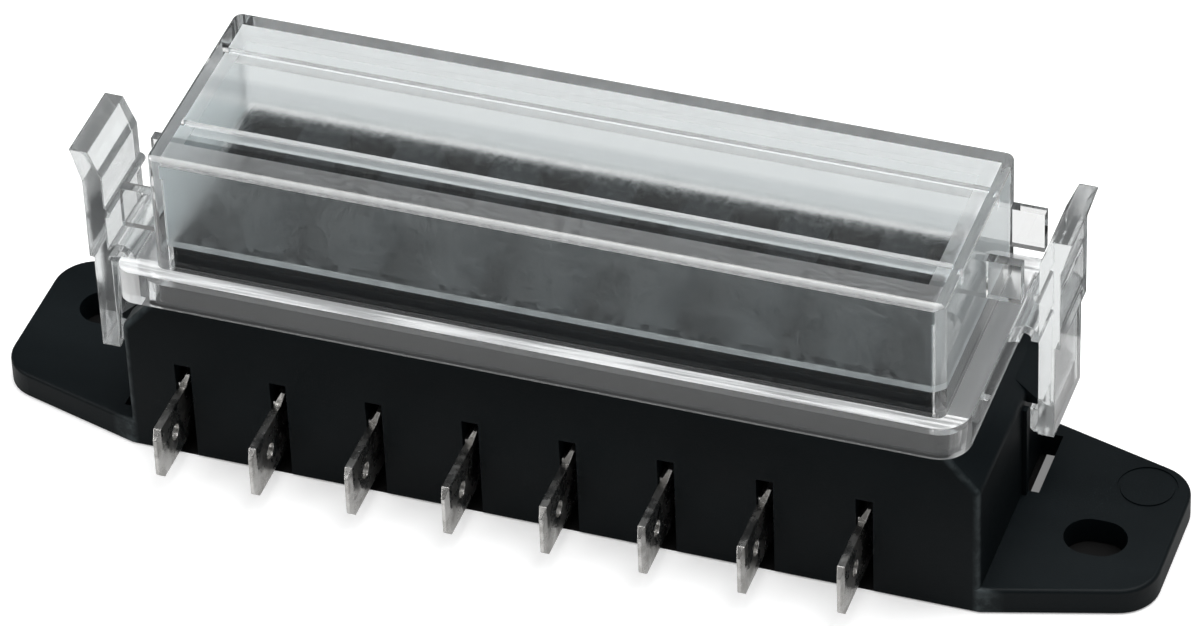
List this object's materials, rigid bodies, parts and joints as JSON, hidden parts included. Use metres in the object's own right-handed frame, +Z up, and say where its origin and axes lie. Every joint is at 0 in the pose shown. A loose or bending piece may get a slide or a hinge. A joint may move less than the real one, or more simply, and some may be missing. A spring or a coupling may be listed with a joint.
{
  "type": "fuse box",
  "caption": "Row fuse box for blade fuses: black base with fixing ears and spade tabs along both sides, under a clear lift-off cover held by a sprung clip at each end.",
  "frame": {"origin": "middle of the flat underside, below the middle of the row of fuses", "axes": "+X along the row towards the right-hand ear, +Y from the front row of tabs to the rear row, +Z up through the cover"},
  "size_m": [0.1252, 0.0426, 0.038],
  "materials": {
    "black_plastic": "satin moulded black nylon",
    "clear_plastic": "clear polycarbonate, polished",
    "tinned_brass": "bright tin plating over brass sheet"
  },
  "bodies": {
    "fuse_block": {"base": "black_plastic", "terminal_front_1": "tinned_brass", "terminal_front_2": "tinned_brass", "terminal_front_3": "tinned_brass", "terminal_front_4": "tinned_brass", "terminal_front_5": "tinned_brass", "terminal_front_6": "tinned_brass", "terminal_front_7": "tinned_brass", "terminal_front_8": "tinned_brass", "terminal_rear_1": "tinned_brass", "terminal_rear_2": "tinned_brass", "terminal_rear_3": "tinned_brass", "terminal_rear_4": "tinned_brass", "terminal_rear_5": "tinned_brass", "terminal_rear_6": "tinned_brass", "terminal_rear_7": "tinned_brass", "terminal_rear_8": "tinned_brass"},
    "cover": {"cover": "clear_plastic"},
    "clip_left": {"clip_lever_left": "clear_plastic"},
    "clip_right": {"clip_lever_right": "clear_plastic"}
  },
  "joints": [
    {"name": "cover_lift", "type": "slide", "parent": "fuse_block", "child": "cover", "axis": [0, 0, 1], "range_m": [0, 0.039]},
    {"name": "clip_right_squeeze", "type": "hinge", "parent": "cover", "child": "clip_right", "pos_m": [0.0446, 0.0069, 0.0229], "axis": [0, -1, 0], "range_deg": [0, 10], "stiffness_Nm_per_rad": 0.4},
    {"name": "clip_left_squeeze", "type": "hinge", "parent": "cover", "child": "clip_left", "pos_m": [-0.0446, -0.0069, 0.0229], "axis": [0, 1, 0], "range_deg": [0, 10], "stiffness_Nm_per_rad": 0.4}
  ]
}
